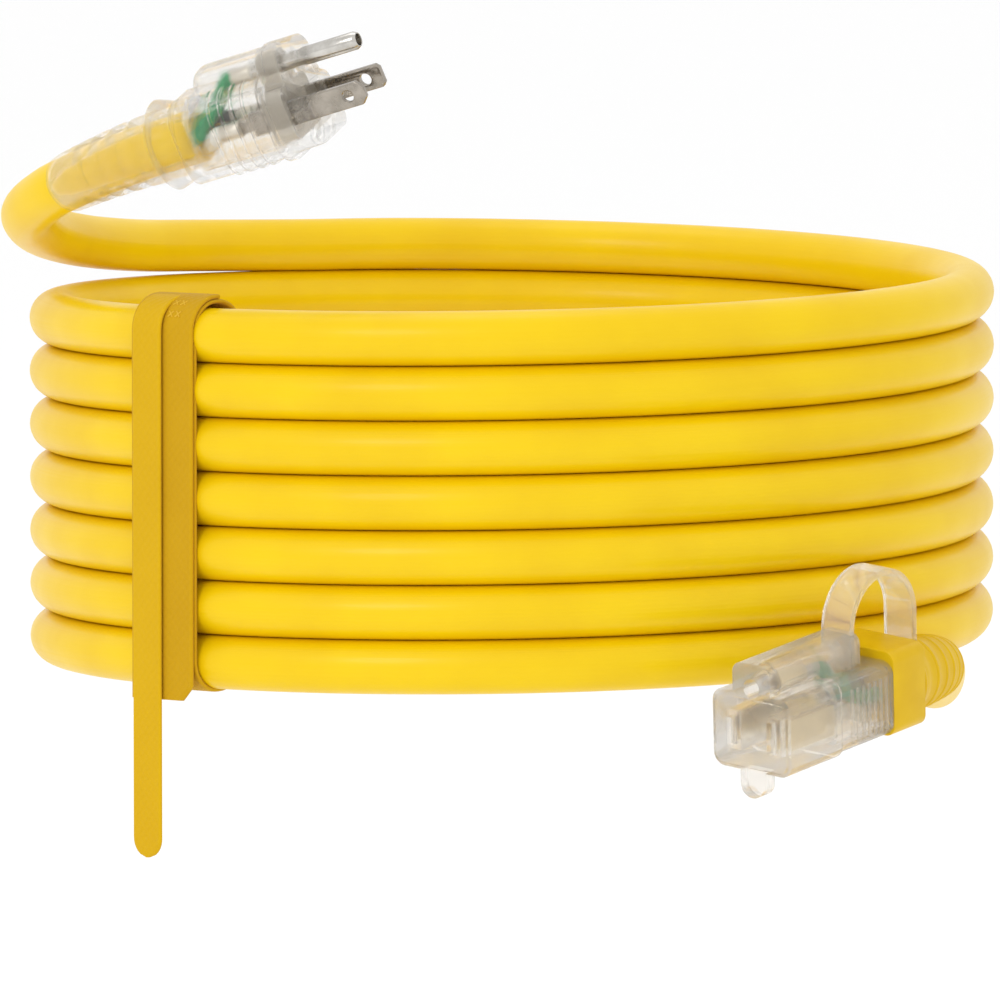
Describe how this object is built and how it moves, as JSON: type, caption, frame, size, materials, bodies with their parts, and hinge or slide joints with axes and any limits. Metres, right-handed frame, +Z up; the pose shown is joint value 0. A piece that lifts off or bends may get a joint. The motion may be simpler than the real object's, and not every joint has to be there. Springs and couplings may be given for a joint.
{
  "type": "extension cord",
  "caption": "Coiled round-jacket grounded extension cord with a clear moulded plug and connector, a hang loop over the connector, and a hook-and-loop strap round the turns.",
  "frame": {"origin": "on the coil's axis, level with the underside of the wound coil", "axes": "+Z up along the coil's axis; -Y towards the connector and the strap, the front; +X to the right, where the connector lead leaves"},
  "size_m": [0.261, 0.2981, 0.213],
  "materials": {
    "cord": "yellow flexible vinyl, semi-gloss",
    "clear_cover": "clear moulded vinyl",
    "bridge": "ivory nylon",
    "nickel": "nickel-plated brass",
    "hot_insulation": "black vinyl insulation",
    "neutral_insulation": "white vinyl insulation",
    "ground_insulation": "green vinyl insulation",
    "crimp": "tinned brass",
    "moulded_yellow": "yellow moulded vinyl",
    "contact": "spring brass",
    "lamp": "clear glass lamp",
    "resistor": "lacquered",
    "clear_loop": "clear moulded vinyl",
    "tape": "woven hook-and-loop tape",
    "tape_strip": "woven hook-and-loop tape, lighter side"
  },
  "bodies": {
    "cord": {"cord_coil": "cord", "plug_lead": "cord", "connector_lead": "cord", "plug_cover": "clear_cover", "plug_bridge": "bridge", "plug_strain_relief": "clear_cover", "hot_blade": "nickel", "neutral_blade": "nickel", "ground_pin": "nickel", "plug_hot_wire": "hot_insulation", "plug_neutral_wire": "neutral_insulation", "plug_ground_wire": "ground_insulation", "plug_crimps": "crimp", "connector_cover": "clear_cover", "connector_block": "moulded_yellow", "connector_strain_relief": "moulded_yellow", "hot_contact": "contact", "neutral_contact": "contact", "ground_contact": "contact", "connector_hot_wire": "hot_insulation", "connector_neutral_wire": "neutral_insulation", "connector_ground_wire": "ground_insulation", "connector_crimps": "crimp", "power_lamp": "lamp", "lamp_resistor": "resistor", "hang_loop": "clear_loop", "strap_loop": "tape", "strap_flap": "tape", "strap_anchor": "tape_strip", "strap_strip": "tape_strip"},
    "strap_tail": {"strap_tail": "tape_strip"}
  },
  "joints": [
    {"name": "tail_swing", "type": "hinge", "parent": "cord", "child": "strap_tail", "pos_m": [-0.09367, -0.09119, 0.00166], "axis": [-0.7193, 0.6947, 0], "range_deg": [-75, 120]}
  ]
}
